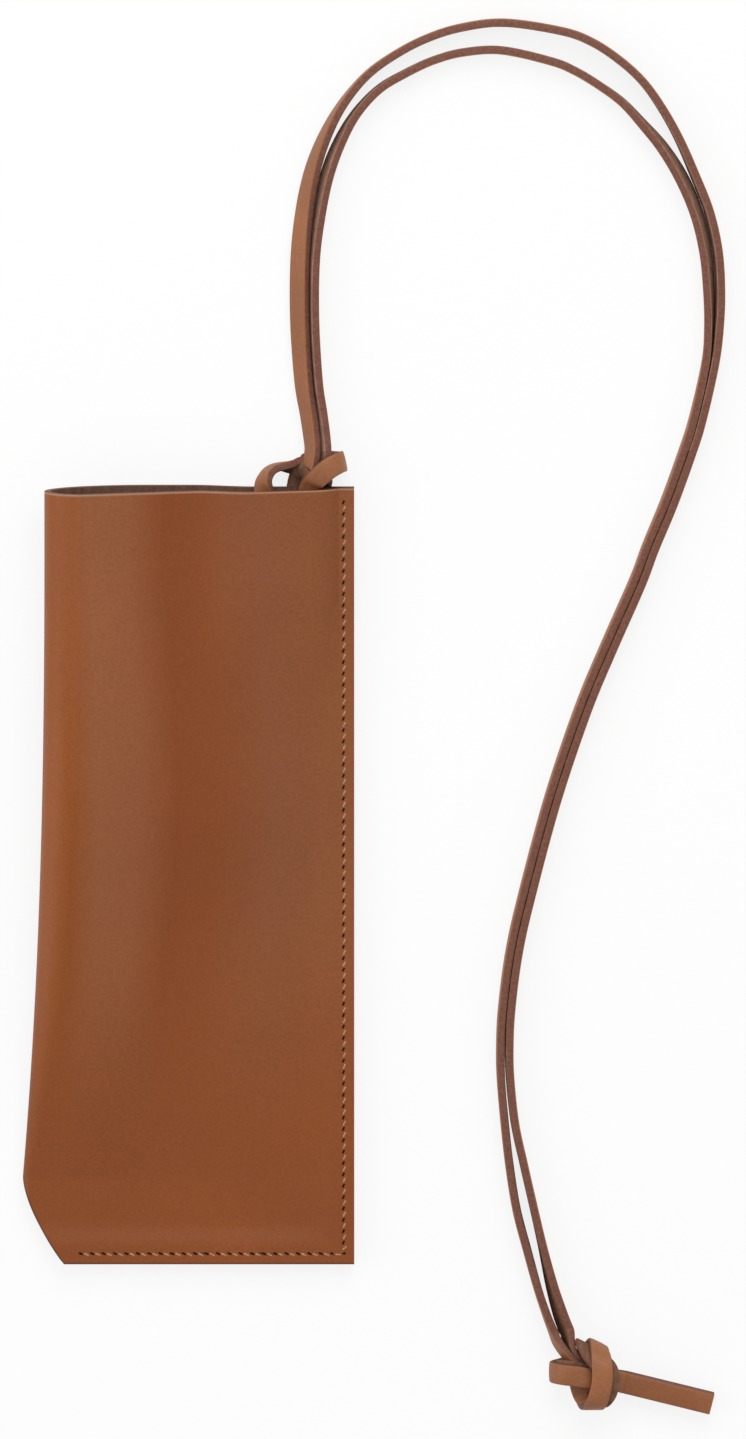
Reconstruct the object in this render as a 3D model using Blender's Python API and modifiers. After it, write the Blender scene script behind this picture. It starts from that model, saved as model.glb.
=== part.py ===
# Sunglasses case: a folded and stitched leather sleeve with a doubled lace neck strap.
# Metres, +Z up. The case lies on its back: +X is the stitched side, +Y the open mouth.
# The origin is under the middle of the case, on the surface that it lies on.

import math

import bmesh
import bpy
import numpy as np
from mathutils import Vector

# Leather sleeve
CASE_LENGTH = 0.180
CASE_WIDTH = 0.0760
LEATHER_THICKNESS = 0.0016
PANEL_GAP = 0.0003
MOUTH_HEIGHT = 0.0164
MOUTH_NARROWING = 0.0053
OPENING_EASE_SHARE = 2.6
FOLD_HEIGHT_SHARE = 0.61
FRONT_CURL_AT_MOUTH = 0.0082
BACK_CURL_AT_MOUTH = 0.0240
CORNER_CUT_HEIGHT = 0.0200
CORNER_CUT_WIDTH = 0.0093
CORNER_BEND_SHARE = 0.65

# Stitched margin along the side and the bottom
SEAM_MARGIN = 0.0024
SEAM_BAND = 0.0036
SEAM_LIFT = 0.0010
SEAM_BLEND = 0.0060
STITCH_PITCH = 0.00264
STITCH_HOLE_LENGTH = 0.0013
STITCH_HOLE_WIDTH = 0.0007
STITCH_SLANT_DEGREES = -24
FIRST_STITCH_FROM_MOUTH = 0.0032
LAST_STITCH_FROM_CUT = 0.0040
THREAD_RADIUS = 0.0002
THREAD_CLEARANCE = 0.0002
THREAD_LEG_SPACING = 0.00062

# Lace of the strap
LACE_WIDTH = 0.0048
LACE_THICKNESS = 0.0018
LACE_CHAMFER = 0.0003
KNOT_BAND_WIDTH = 0.0052
KNOT_BAND_THICKNESS = 0.0028
SEAT_GAP = 0.0003
TAIL_LENGTH = 0.0202

# Slot in the back panel that the lace is looped through
SLOT_FROM_SIDE = 0.0150
SLOT_FROM_MOUTH = 0.0140
SLOT_SIDE_CLEARANCE = 0.0006
SLOT_HEIGHT = 0.0034

# Room that the lace takes under and inside the mouth
STRAP_LIFT = 0.0026
LEG_BULGE = 0.0019
STRAP_ROOM_LEFT = 0.0230
STRAP_ROOM_DEPTH = 0.0180
STRAP_ROOM_BLEND = 0.0140
STRAP_ROOM_RUN_IN = 0.0440

# Cutters reach this far past the leather that they cut
CUT_OVERRUN = 0.0010
SLOT_END_STEPS = 6

# Faces that meet at more than this are shaded as an edge
SHARP_EDGE_DEGREES = 35

# Places worked out from the sizes above
RIGHT_EDGE = CASE_WIDTH / 2
LEFT_EDGE = -CASE_WIDTH / 2
MOUTH_EDGE = CASE_LENGTH / 2
BOTTOM_EDGE = -CASE_LENGTH / 2
SEAM_INNER = RIGHT_EDGE - SEAM_BAND
SEAM_STACK = 2 * LEATHER_THICKNESS + PANEL_GAP
FLAT_FOLD_RADIUS = SEAM_STACK / 2
FOLD_BOTTOM = BOTTOM_EDGE + CORNER_CUT_HEIGHT
SLOT_CENTRE = Vector((RIGHT_EDGE - SLOT_FROM_SIDE, MOUTH_EDGE - SLOT_FROM_MOUTH, 0))
SLOT_WIDTH = 2 * LACE_WIDTH + 2 * SLOT_SIDE_CLEARANCE

# Columns and rows of the leather, as shares of the panel that they divide
PANEL_COLUMN_SHARES = (0.05, 0.10, 0.16, 0.22, 0.29, 0.37, 0.48, 0.62, 0.77, 0.893, 0.925,
                       0.955, 0.98, 1.0)
FOLD_COLUMNS = 14
ROW_SHARES = (0, 0.02, 0.035, 0.055, 0.085, 0.12, 0.17, 0.23, 0.30, 0.38, 0.47, 0.57, 0.67,
              0.76, 0.82, 0.86, 0.89, 0.92, 0.945, 0.97, 0.985, 1.0)

# Routes are in millimetres
MILLIMETRE = 0.001

# Both strands of the strap from the mouth to the knot, read along the middle of the pair:
# x, y, height, half the distance between the strands, and each strand's lean from upright.
# A lean of 90 lays the lace flat.
STRAP_ROUTE = (
    (27.3, 87.6, 1.10, 2.75, 90, 90),
    (27.7, 89.5, 1.12, 2.70, 90, 90),
    (27.95, 91.0, 1.55, 2.65, 90, 90),
    (28.2, 92.9, 3.85, 2.60, 87, 87),
    (28.7, 94.6, 4.80, 2.20, 56, 56),
    (29.4, 96.4, 4.95, 1.50, 34, 34),
    (29.8, 98.8, 4.30, 1.30, 25, 24),
    (29.6, 101.8, 3.30, 1.34, 34, 23),
    (29.0, 107.0, 2.80, 1.45, 37, 17),
    (28.0, 114.5, 2.75, 1.58, 42, 11),
    (27.2, 128.6, 2.75, 1.68, 47, 6),
    (27.3, 142.7, 2.75, 1.68, 46, 10),
    (28.4, 153.6, 2.75, 1.70, 38, 19),
    (30.2, 162.4, 2.70, 1.74, 28, 20),
    (33.1, 170.2, 2.70, 1.80, 16, 14),
    (37.0, 177.1, 2.65, 1.88, 4, 4),
    (42.3, 183.1, 2.65, 2.10, 0, 2),
    (48.4, 187.2, 2.65, 2.40, 0, 0),
    (55.2, 190.6, 2.65, 2.58, 0, 0),
    (62.6, 192.8, 2.65, 2.80, -2, 0),
    (72.0, 193.6, 2.65, 3.15, -2, 0),
    (84.0, 191.4, 2.65, 3.62, -2, -2),
    (90.1, 189.1, 2.65, 3.80, -2, -2),
    (96.0, 185.4, 2.65, 3.68, -2, -2),
    (101.3, 181.0, 2.65, 3.33, -3, 0),
    (105.8, 175.5, 2.65, 2.86, -4, 4),
    (110.2, 169.1, 2.70, 2.15, -6, 12),
    (114.2, 161.4, 2.70, 1.60, -9, 20),
    (117.5, 153.2, 2.70, 1.46, -9, 20),
    (119.5, 144.4, 2.70, 1.38, -9, 18),
    (120.2, 135.3, 2.70, 1.32, -8, 15),
    (120.1, 126.9, 2.70, 1.25, -8, 11),
    (119.2, 118.2, 2.70, 1.18, -8, 6),
    (116.3, 105.1, 2.65, 1.12, -8, 0),
    (113.8, 97.1, 2.65, 1.11, -8, -4),
    (109.9, 86.2, 2.65, 1.11, -7, -7),
    (105.7, 75.9, 2.60, 1.11, -7, -7),
    (102.7, 67.8, 2.60, 1.11, -7, -7),
    (96.1, 52.6, 2.60, 1.11, -7, -7),
    (90.3, 38.4, 2.60, 1.11, -7, -7),
    (83.4, 17.6, 2.60, 1.11, -7, -7),
    (77.5, -4.7, 2.60, 1.11, -7, -7),
    (74.6, -17.9, 2.60, 1.11, -7, -7),
    (72.9, -31.2, 2.60, 1.11, -6, -6),
    (72.5, -40.3, 2.60, 1.12, -5, -5),
    (72.7, -47.6, 2.60, 1.14, -3, -3),
    (73.7, -57.9, 2.60, 1.32, -2, 0),
    (75.3, -67.7, 2.60, 1.74, -2, 0),
    (77.2, -77.5, 2.60, 1.93, -2, 0),
    (79.5, -86.9, 2.65, 1.85, -4, 2),
    (81.8, -95.9, 2.70, 1.85, -12, -4),
    (83.9, -102.6, 2.75, 1.50, -20, -14),
    (85.2, -105.9, 2.80, 1.35, -26, -22),
)
STRAND_SPACING = 12

# The loop of the lace through the slot and round both strands: x, y, height, and the
# direction that the flesh side faces.
HITCH_ROUTE = (
    (24.55, 87.85, 1.10, 0, 0, 1),
    (22.6, 82.8, 1.10, 0, 0, 1),
    (20.8, 79.0, 1.12, 0, 0.1, 1),
    (20.5, 76.7, 1.50, 0, 0.5, 0.9),
    (20.4, 75.95, 2.50, 0, 0.95, 0.3),
    (20.4, 75.85, 3.45, 0, 1, 0),
    (20.4, 75.95, 4.40, 0, 0.95, -0.3),
    (20.4, 77.0, 5.60, 0, 0.5, -0.9),
    (20.2, 79.2, 5.85, 0, 0, -1),
    (19.0, 83.5, 5.90, 0.15, 0, -1),
    (17.8, 88.0, 6.50, 0.40, -0.05, -1),
    (17.4, 91.0, 6.40, 0.75, -0.2, -0.7),
    (18.1, 93.2, 5.60, 0.75, -0.65, -0.3),
    (20.0, 94.6, 4.20, 0.2, -1, 0),
    (21.8, 95.6, 2.60, 0.1, -0.8, 0.6),
    (23.3, 95.85, 1.30, 0.05, -0.1, 1),
    (24.8, 95.5, 1.10, 0, 0, 1),
    (27.4, 95.45, 1.10, 0, 0, 1),
    (31.2, 95.4, 1.10, 0, 0, 1),
    (33.3, 95.3, 1.35, -0.3, 0, 1),
    (34.8, 95.6, 2.60, -0.85, -0.2, 0.5),
    (35.1, 96.0, 4.80, -1, -0.2, 0),
    (34.4, 96.1, 7.20, -0.7, -0.2, -0.7),
    (32.2, 95.0, 8.50, -0.1, -0.1, -1),
    (29.4, 92.6, 8.00, 0, 0.4, -1),
    (28.2, 91.0, 6.55, 0, 0.5, -1),
    (27.1, 87.8, 5.70, 0, 0.1, -1),
    (26.0, 83.0, 5.70, 0, 0, -1),
    (25.75, 79.2, 5.85, 0, 0, -1),
    (25.7, 77.0, 5.60, 0, 0.5, -0.9),
    (25.7, 75.95, 4.40, 0, 0.95, -0.3),
    (25.7, 75.85, 3.45, 0, 1, 0),
    (25.7, 75.95, 2.50, 0, 0.95, 0.3),
    (25.8, 76.7, 1.50, 0, 0.5, 0.9),
    (26.5, 79.0, 1.12, 0, 0.1, 1),
    (28.6, 82.6, 1.10, 0, 0, 1),
    (29.90, 86.65, 1.10, 0, 0, 1),
)
HITCH_SPACING = 1.6

# Both strands tied together in an overhand knot, from the strap to the tails, about the
# knot's middle: x, y, height, and the direction across the two thicknesses.
KNOT_CENTRE = (91.5, -115.9)
KNOT_ROUTE = (
    (-6.15, 9.55, 3.05, 0.86, 0.36, -0.3),
    (-5.7, 8.5, 3.2, 0.8, 0.36, -0.4),
    (-4.8, 7.0, 4.4, 0.35, 0.25, -0.85),
    (-3.6, 5.4, 5.2, 0.05, 0.1, -1),
    (-2.5, 3.8, 5.2, 0, 0, -1),
    (-2.0, 1.4, 5.0, 0, 0, -1),
    (-1.8, -1.4, 4.9, 0, 0, -1),
    (-1.1, -3.8, 4.5, 0, 0.2, -1),
    (-0.2, -5.4, 5.2, 0, -0.4, -0.8),
    (0.8, -6.2, 7.6, 0, -1, 0),
    (2.0, -5.0, 10.1, 0, -0.5, 0.9),
    (3.0, -2.2, 11.0, 0, 0, 1),
    (3.4, 0.8, 11.0, 0, 0, 1),
    (3.4, 3.8, 10.6, 0, 0.3, 0.95),
    (3.4, 6.3, 8.6, 0, 0.9, 0.5),
    (3.3, 7.0, 5.6, 0, 1, -0.2),
    (2.6, 6.1, 2.7, 0, 0.6, -0.8),
    (0.4, 4.1, 1.65, 0, 0, -1),
    (-2.8, 1.9, 1.55, 0, 0, -1),
    (-5.7, 0.8, 1.8, -0.2, 0, -1),
    (-7.4, 0.5, 4.9, -1, 0, 0),
    (-5.6, 0.3, 8.0, -0.3, 0, 1),
    (-2.6, 0.2, 8.3, 0, 0, 1),
    (0.6, 0.0, 8.1, 0.15, 0, 1),
    (3.2, -0.6, 6.2, 0.6, 0, 1),
    (6.0, -1.3, 3.4, 0.4, 0, 1),
    (8.5, -1.95, 2.25, 0, 0, 1),
)
KNOT_SPACING = 1.6

# The tails leave the knot flat, one on the other
TAIL_START = (100.5, -117.97)
TAIL_TURN_DEGREES = -14


def clear_scene():
    for old in list(bpy.data.objects):
        bpy.data.objects.remove(old, do_unlink=True)


def make_collection(name):
    group = bpy.data.collections.new(name)
    bpy.context.scene.collection.children.link(group)
    return group


def make_material(name, colour, roughness):
    material = bpy.data.materials.new(name)
    material.use_nodes = True
    shader = material.node_tree.nodes["Principled BSDF"]
    shader.inputs["Base Color"].default_value = (*colour, 1)
    shader.inputs["Roughness"].default_value = roughness
    shader.inputs["Metallic"].default_value = 0
    return material


def add_mesh_object(name, bm, group, material):
    mesh = bpy.data.meshes.new(name)
    bm.to_mesh(mesh)
    bm.free()
    piece = bpy.data.objects.new(name, mesh)
    group.objects.link(piece)
    if material:
        mesh.materials.append(material)
    return piece


def smooth_step(value):
    t = min(max(value, 0.0), 1.0)
    return t * t * (3 - 2 * t)


# Shape of the sleeve

def openness(y):
    """How far the sleeve is rounded out at y: 0 at the corner cut, 1 at the mouth."""
    t = (y - FOLD_BOTTOM) / (MOUTH_EDGE - FOLD_BOTTOM)
    return 1 - (1 - min(max(t, 0.0), 1.0)) ** OPENING_EASE_SHARE


def opened(y, at_bottom, at_mouth):
    """Size of the fold at y, between its sizes at the corner cut and at the mouth."""
    return at_bottom + (at_mouth - at_bottom) * openness(y)


def sleeve_height(y):
    return opened(y, SEAM_STACK, MOUTH_HEIGHT)


def fold_edge(y):
    """Outermost x of the fold, which draws in as the sleeve rounds out."""
    return LEFT_EDGE + MOUTH_NARROWING * openness(y)


def fold_edge_height(y):
    return opened(y, FLAT_FOLD_RADIUS, FOLD_HEIGHT_SHARE * MOUTH_HEIGHT)


def back_curl(y):
    """How far from the fold's edge the back panel starts to curl up to it."""
    return opened(y, FLAT_FOLD_RADIUS, BACK_CURL_AT_MOUTH)


def front_curl(y):
    return opened(y, FLAT_FOLD_RADIUS, FRONT_CURL_AT_MOUTH)


def strap_room(x, y):
    """1 where the lace lies under and inside the mouth, easing to 0 round it."""
    from_left = (x - (RIGHT_EDGE - STRAP_ROOM_LEFT) + STRAP_ROOM_BLEND) / STRAP_ROOM_BLEND
    from_below = (y - (MOUTH_EDGE - STRAP_ROOM_DEPTH) + STRAP_ROOM_RUN_IN) / STRAP_ROOM_RUN_IN
    return smooth_step(from_left) * smooth_step(from_below)


def back_height(x, y):
    """Height of the back panel's outer face: raised at the seams and over the lace."""
    from_seam = min(RIGHT_EDGE - x, y - BOTTOM_EDGE)
    seam = SEAM_LIFT * (1 - smooth_step((from_seam - SEAM_BAND) / SEAM_BLEND))
    return seam + (STRAP_LIFT - seam) * strap_room(x, y)


def front_height(x, y):
    """Height of the front panel's outer face, rising from the seam to the fold."""
    share = min(max((SEAM_INNER - x) / (SEAM_INNER - fold_edge(y) - front_curl(y)), 0.0), 1.0)
    body = SEAM_STACK + (sleeve_height(y) - SEAM_STACK) * share
    pinch = smooth_step((SEAM_INNER - x) / SEAM_BAND)
    return back_height(x, y) + body + LEG_BULGE * strap_room(x, y) * pinch


def cut_bottom(from_edge):
    """Lower edge of the leather, which bends up to the fold where the corner is cut off."""
    share = min(from_edge / CORNER_CUT_WIDTH, 1.0)
    return BOTTOM_EDGE + CORNER_CUT_HEIGHT * (1 - share ** CORNER_BEND_SHARE)


def panel_columns():
    """Places across one panel: a distance in the seam band, or a share of the rest."""
    return [("seam", 0.0), ("seam", 1.0)] + [("panel", share) for share in PANEL_COLUMN_SHARES]


def column_x(kind, share, y, curl):
    if kind == "seam":
        return RIGHT_EDGE - SEAM_BAND * share
    return SEAM_INNER + (fold_edge(y) + curl(y) - SEAM_INNER) * share


def row_places(from_edge):
    low = cut_bottom(from_edge)
    return [low + (MOUTH_EDGE - low) * row for row in ROW_SHARES]


def column_points(kind, share, height, curl):
    flat_width = SEAM_INNER - LEFT_EDGE - FLAT_FOLD_RADIUS
    from_fold = flat_width * (1 - share) if kind == "panel" else flat_width
    points = []
    for y in row_places(FLAT_FOLD_RADIUS + from_fold):
        x = column_x(kind, share, y, curl)
        points.append((x, y, height(x, y)))
    return points


def fold_points(turn):
    """One line of the fold, at a share of its turn from the back panel to the front."""
    angle = -math.pi / 2 - math.pi * turn
    outward = 1 + math.cos(angle)
    rise = math.sin(angle)
    points = []
    for y in row_places(FLAT_FOLD_RADIUS * outward):
        curl = back_curl(y) if rise < 0 else front_curl(y)
        middle = fold_edge_height(y)
        reach = middle if rise < 0 else sleeve_height(y) - middle
        points.append((fold_edge(y) + curl * outward, y, middle + reach * rise))
    return points


def make_case_body(group, cutters, material):
    columns = [column_points(kind, share, back_height, back_curl) for kind, share in panel_columns()]
    columns += [fold_points((step + 1) / FOLD_COLUMNS) for step in range(FOLD_COLUMNS - 1)]
    columns += [column_points(kind, share, front_height, front_curl)
                for kind, share in reversed(panel_columns())]
    bm = bmesh.new()
    grid = [[bm.verts.new(point) for point in column] for column in columns]
    for left, right in zip(grid, grid[1:]):
        for row in range(len(ROW_SHARES) - 1):
            bm.faces.new((left[row], right[row], right[row + 1], left[row + 1]))
    bmesh.ops.recalc_face_normals(bm, faces=bm.faces)
    body = add_mesh_object("case_body", bm, group, material)
    shell = body.modifiers.new("leather", "SOLIDIFY")
    shell.thickness = LEATHER_THICKNESS
    shell.offset = -1
    shell.use_even_offset = True
    shell.use_quality_normals = True
    for cutter in (make_stitch_cutter(cutters), make_slot_cutter(cutters)):
        cut = body.modifiers.new(cutter.name, "BOOLEAN")
        cut.operation = "DIFFERENCE"
        cut.solver = "EXACT"
        cut.object = cutter
    body.data.shade_smooth()
    body.data.set_sharp_from_angle(angle=math.radians(SHARP_EDGE_DEGREES))
    return body


# Stitching

def seam_holes():
    """Centre of each stitch hole and the direction of the seam there, mouth to corner cut."""
    side_x = RIGHT_EDGE - SEAM_MARGIN
    row_y = BOTTOM_EDGE + SEAM_MARGIN
    side_run = MOUTH_EDGE - FIRST_STITCH_FROM_MOUTH - row_y
    bottom_run = side_x - (LEFT_EDGE + CORNER_CUT_WIDTH + LAST_STITCH_FROM_CUT)
    side_count = round(side_run / STITCH_PITCH)
    bottom_count = round(bottom_run / STITCH_PITCH)
    holes = []
    for step in range(side_count):
        holes.append((side_x, row_y + side_run * (1 - step / side_count), -math.pi / 2))
    holes.append((side_x, row_y, -math.pi * 3 / 4))
    for step in range(1, bottom_count + 1):
        holes.append((side_x - bottom_run * step / bottom_count, row_y, math.pi))
    return holes


def add_prism(bm, outline, low, high):
    """Closed prism over an outline of (x, y) points that runs counter-clockwise."""
    below = [bm.verts.new((x, y, low)) for x, y in outline]
    above = [bm.verts.new((x, y, high)) for x, y in outline]
    bm.faces.new(list(reversed(below)))
    bm.faces.new(above)
    for start in range(len(outline)):
        end = (start + 1) % len(outline)
        bm.faces.new((below[start], below[end], above[end], above[start]))


def finish_cutter(name, bm, cutters):
    cutter = add_mesh_object(name, bm, cutters, None)
    cutter.hide_render = True
    cutter.display_type = "WIRE"
    return cutter


def make_stitch_cutter(cutters):
    slant = math.radians(STITCH_SLANT_DEGREES)
    bm = bmesh.new()
    for x, y, heading in seam_holes():
        along = Vector((math.cos(heading + slant), math.sin(heading + slant))) * STITCH_HOLE_LENGTH / 2
        across = Vector((-along.y, along.x)).normalized() * STITCH_HOLE_WIDTH / 2
        middle = Vector((x, y))
        outline = [middle - along - across, middle + along - across,
                   middle + along + across, middle - along + across]
        add_prism(bm, outline, back_height(x, y) - CUT_OVERRUN, front_height(x, y) + CUT_OVERRUN)
    return finish_cutter("stitch_hole_cutter", bm, cutters)


def make_slot_cutter(cutters):
    """Slot with round ends through the back panel alone."""
    radius = SLOT_HEIGHT / 2
    reach = SLOT_WIDTH / 2 - radius
    outline = []
    for side in (1, -1):
        for step in range(SLOT_END_STEPS + 1):
            angle = -math.pi / 2 + math.pi * step / SLOT_END_STEPS
            outline.append((SLOT_CENTRE.x + side * (reach + radius * math.cos(angle)),
                            SLOT_CENTRE.y + side * radius * math.sin(angle)))
    low = back_height(SLOT_CENTRE.x, SLOT_CENTRE.y)
    bm = bmesh.new()
    add_prism(bm, outline, low - CUT_OVERRUN, low + LEATHER_THICKNESS + CUT_OVERRUN)
    return finish_cutter("strap_slot_cutter", bm, cutters)


def make_thread(name, group, material, surface, side):
    """One thread of the lock stitch: over the leather and down into each hole.

    surface gives the leather's height, and side is 1 above the front and -1 below the back.
    """
    slant = math.radians(STITCH_SLANT_DEGREES)
    half_leg = THREAD_LEG_SPACING / 2
    points = []
    for x, y, heading in seam_holes():
        step = Vector((math.cos(heading + slant), math.sin(heading + slant))) * half_leg
        outside = surface(x, y) + side * (THREAD_CLEARANCE + THREAD_RADIUS)
        meeting = (front_height(x, y) + back_height(x, y)) / 2
        inside = meeting + side * (THREAD_CLEARANCE + THREAD_RADIUS)
        for sign, first, second in ((-1, outside, inside), (1, inside, outside)):
            points.append((x + sign * step.x, y + sign * step.y, first))
            points.append((x + sign * step.x, y + sign * step.y, second))
    curve = bpy.data.curves.new(name, "CURVE")
    curve.dimensions = "3D"
    curve.bevel_depth = THREAD_RADIUS
    curve.bevel_resolution = 0
    curve.use_fill_caps = True
    spline = curve.splines.new("POLY")
    spline.points.add(len(points) - 1)
    for point, place in zip(spline.points, points):
        point.co = (*place, 1)
    thread = bpy.data.objects.new(name, curve)
    group.objects.link(thread)
    curve.materials.append(material)
    return thread


# Lace

def smooth_rows(route, spacing):
    """Rows of a route and rows between them, no further apart than spacing.

    They are read from one smooth curve through all the route's columns.
    """
    rows = np.array(route, dtype=float)
    padded = np.vstack([2 * rows[0] - rows[1], rows, 2 * rows[-1] - rows[-2]])
    smooth = []
    for index in range(len(rows) - 1):
        p0, p1, p2, p3 = padded[index:index + 4]
        steps = math.ceil(np.linalg.norm((p2 - p1)[:3]) / spacing)
        for t in np.arange(steps) / steps:
            smooth.append(0.5 * (2 * p1 + (p2 - p0) * t + (2 * p0 - 5 * p1 + 4 * p2 - p3) * t * t
                                 + (3 * p1 - p0 - 3 * p2 + p3) * t ** 3))
    smooth.append(rows[-1])
    return np.array(smooth)


def directions(places):
    """Direction of a path at each of its places."""
    steps = np.diff(places, axis=0)
    steps /= np.linalg.norm(steps, axis=1)[:, None]
    middle = steps[:-1] + steps[1:]
    return np.vstack([steps[:1], middle, steps[-1:]])


def lace_outline(width, thickness):
    """Section of a lace with its long edges chamfered: (across, through) pairs."""
    half_width = width / 2
    half_thickness = thickness / 2
    inner_width = half_width - LACE_CHAMFER
    inner_thickness = half_thickness - LACE_CHAMFER
    return [(half_width, inner_thickness), (inner_width, half_thickness),
            (-inner_width, half_thickness), (-half_width, inner_thickness),
            (-half_width, -inner_thickness), (-inner_width, -half_thickness),
            (inner_width, -half_thickness), (half_width, -inner_thickness)]


def make_lace(name, group, material, pivot, places, faces, width, thickness):
    """Lace swept along places, one section at each, which keeps the face direction given there."""
    places = np.array(places)
    tangents = directions(places)
    outline = lace_outline(width, thickness)
    bm = bmesh.new()
    rings = []
    for place, tangent, face in zip(places, tangents, faces):
        along = Vector(tangent).normalized()
        through = Vector(face)
        through = (through - along * through.dot(along)).normalized()
        across = along.cross(through)
        middle = Vector(place) - pivot.location
        rings.append([bm.verts.new(middle + across * a + through * t) for a, t in outline])
    for first, second in zip(rings, rings[1:]):
        for start in range(len(outline)):
            end = (start + 1) % len(outline)
            bm.faces.new((first[start], first[end], second[end], second[start]))
    bm.faces.new(rings[0])
    bm.faces.new(list(reversed(rings[-1])))
    bmesh.ops.recalc_face_normals(bm, faces=bm.faces)
    lace = add_mesh_object(name, bm, group, material)
    lace.data.shade_smooth()
    lace.data.set_sharp_from_angle(angle=math.radians(SHARP_EDGE_DEGREES))
    lace.parent = pivot
    return lace


def strand_stations(side):
    """Places and face directions of one strand; side is 1 for the outer and -1 for the inner."""
    rows = smooth_rows(STRAP_ROUTE, STRAND_SPACING)
    tangents = directions(rows[:, :2])
    places = []
    faces = []
    for row, tangent in zip(rows, tangents):
        along = Vector(tangent).normalized()
        left = Vector((-along.y, along.x, 0))
        middle = Vector(row[:3]) + left * side * row[3]
        lean = math.radians(row[4] if side > 0 else row[5])
        places.append(middle * MILLIMETRE)
        faces.append(left * math.cos(lean) + Vector((0, 0, math.sin(lean))))
    return places, faces


def make_strands(group, material, pivot):
    for name, side in (("strap_strand_outer", 1), ("strap_strand_inner", -1)):
        places, faces = strand_stations(side)
        make_lace(name, group, material, pivot, places, faces, LACE_WIDTH, LACE_THICKNESS)


def make_hitch(group, material, pivot):
    rows = smooth_rows(HITCH_ROUTE, HITCH_SPACING)
    places = rows[:, :3] * MILLIMETRE
    make_lace("strap_hitch", group, material, pivot, places, rows[:, 3:], LACE_WIDTH, LACE_THICKNESS)


def make_knot(group, material, pivot):
    rows = smooth_rows(KNOT_ROUTE, KNOT_SPACING)
    places = (rows[:, :3] + np.array([*KNOT_CENTRE, 0])) * MILLIMETRE
    make_lace("end_knot", group, material, pivot, places, rows[:, 3:],
              KNOT_BAND_WIDTH, KNOT_BAND_THICKNESS)


def make_tails(group, material, pivot):
    turn = math.radians(TAIL_TURN_DEGREES)
    heading = Vector((math.cos(turn), math.sin(turn), 0))
    start = Vector((*TAIL_START, 0)) * MILLIMETRE
    lower = SEAT_GAP + LACE_THICKNESS / 2
    upper = lower + LACE_THICKNESS + SEAT_GAP
    for name, height in (("strap_tail_lower", lower), ("strap_tail_upper", upper)):
        base = start + Vector((0, 0, height))
        places = [base, base + heading * TAIL_LENGTH / 2, base + heading * TAIL_LENGTH]
        faces = [Vector((0, 0, 1))] * len(places)
        make_lace(name, group, material, pivot, places, faces, LACE_WIDTH, LACE_THICKNESS)


def make_pivot(group):
    pivot = bpy.data.objects.new("strap_pivot", None)
    pivot.location = SLOT_CENTRE
    group.objects.link(pivot)
    return pivot


def main():
    clear_scene()
    parts = make_collection("sunglasses_case")
    cutters = make_collection("cutters")
    leather = make_material("tan_leather", (0.258, 0.082, 0.026), 0.42)
    lace = make_material("tan_lace", (0.290, 0.105, 0.040), 0.48)
    thread = make_material("tan_thread", (0.440, 0.200, 0.105), 0.60)
    pivot = make_pivot(parts)
    make_case_body(parts, cutters, leather)
    make_thread("seam_thread_front", parts, thread, front_height, 1)
    make_thread("seam_thread_back", parts, thread, back_height, -1)
    make_hitch(parts, lace, pivot)
    make_strands(parts, lace, pivot)
    make_knot(parts, lace, pivot)
    make_tails(parts, lace, pivot)


main()
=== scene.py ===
import math
import bmesh
import bpy
import numpy as np
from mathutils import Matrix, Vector


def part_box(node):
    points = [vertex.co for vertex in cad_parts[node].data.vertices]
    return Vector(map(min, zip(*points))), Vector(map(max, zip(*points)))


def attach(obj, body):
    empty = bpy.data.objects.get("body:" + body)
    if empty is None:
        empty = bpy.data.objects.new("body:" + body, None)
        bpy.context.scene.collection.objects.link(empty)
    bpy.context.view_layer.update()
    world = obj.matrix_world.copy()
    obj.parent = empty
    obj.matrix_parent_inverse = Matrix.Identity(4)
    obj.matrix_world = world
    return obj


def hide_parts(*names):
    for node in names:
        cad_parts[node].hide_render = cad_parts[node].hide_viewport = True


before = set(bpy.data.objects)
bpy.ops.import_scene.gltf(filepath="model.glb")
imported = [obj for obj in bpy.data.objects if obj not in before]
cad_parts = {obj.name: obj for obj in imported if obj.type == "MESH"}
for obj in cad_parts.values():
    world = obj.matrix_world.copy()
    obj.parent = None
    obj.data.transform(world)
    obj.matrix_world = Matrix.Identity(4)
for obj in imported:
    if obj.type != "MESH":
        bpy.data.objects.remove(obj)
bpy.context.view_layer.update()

millimetre = 0.001
print("frame loaded")


# camera

photoView = {
    "pixelsWide": 746,
    "pixelsHigh": 1439,
    "metresPerPixel": 0.0002288,
    "lookAt": (0.0423, 0.0357, 0.0),
    "tiltDegrees": 8.9,       # towards the mouth, so that it shows the inside of the back panel
    "lens": 700,
    "sensorHeight": 36,
    "clipEnd": 20,
}


def makeCamera(v):
    camera = bpy.data.objects.new("photoCamera", bpy.data.cameras.new("photoCamera"))
    bpy.context.scene.collection.objects.link(camera)
    camera.data.sensor_fit = "VERTICAL"
    camera.data.sensor_height = v["sensorHeight"]
    camera.data.lens = v["lens"]
    camera.data.clip_end = v["clipEnd"]
    frameHeight = v["pixelsHigh"] * v["metresPerPixel"]
    distance = v["lens"] / v["sensorHeight"] * frameHeight
    tilt = math.radians(v["tiltDegrees"])
    camera.location = Vector(v["lookAt"]) + distance * Vector((0, math.sin(tilt), math.cos(tilt)))
    camera.rotation_euler = (-tilt, 0, 0)
    bpy.context.scene.camera = camera


makeCamera(photoView)


# lace: one long strip, flesh side to flesh side where its two strands run together

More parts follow.
